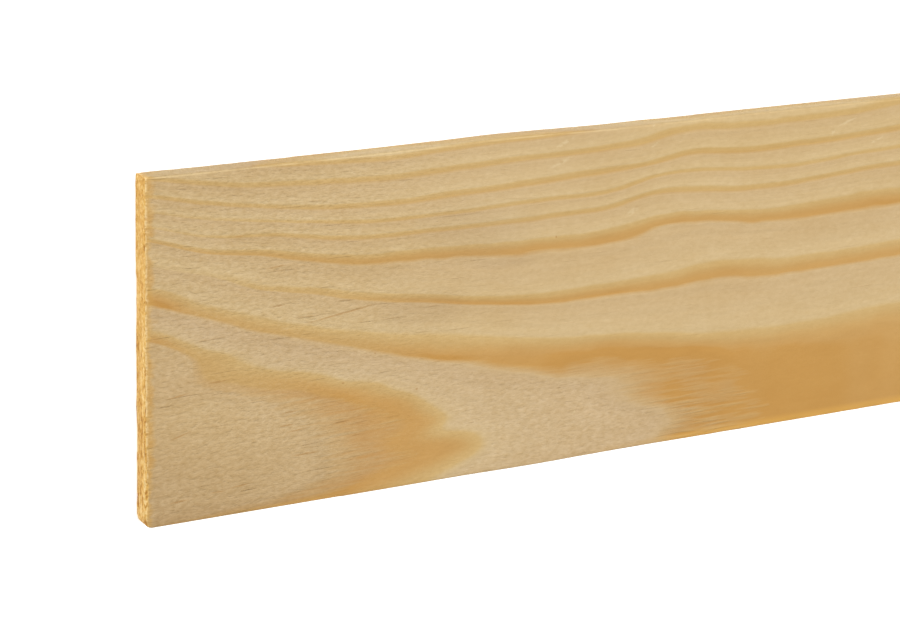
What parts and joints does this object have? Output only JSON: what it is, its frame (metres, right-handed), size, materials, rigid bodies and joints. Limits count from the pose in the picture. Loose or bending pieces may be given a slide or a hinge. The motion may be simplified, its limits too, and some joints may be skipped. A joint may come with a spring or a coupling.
{
  "type": "rectangular trim strip",
  "caption": "Flat rectangular strip of bare planed softwood with eased long edges and square-sawn ends, for covering joints and edging panels.",
  "frame": {"origin": "centre of the underside, the back face that goes against the wall", "axes": "+X along the length, +Y across the width, +Z out of the show face"},
  "size_m": [1, 0.08, 0.005],
  "materials": {
    "bare_pine": "planed and unfinished, with raised grain"
  },
  "bodies": {
    "root": {"trim_strip": "bare_pine"}
  },
  "joints": []
}
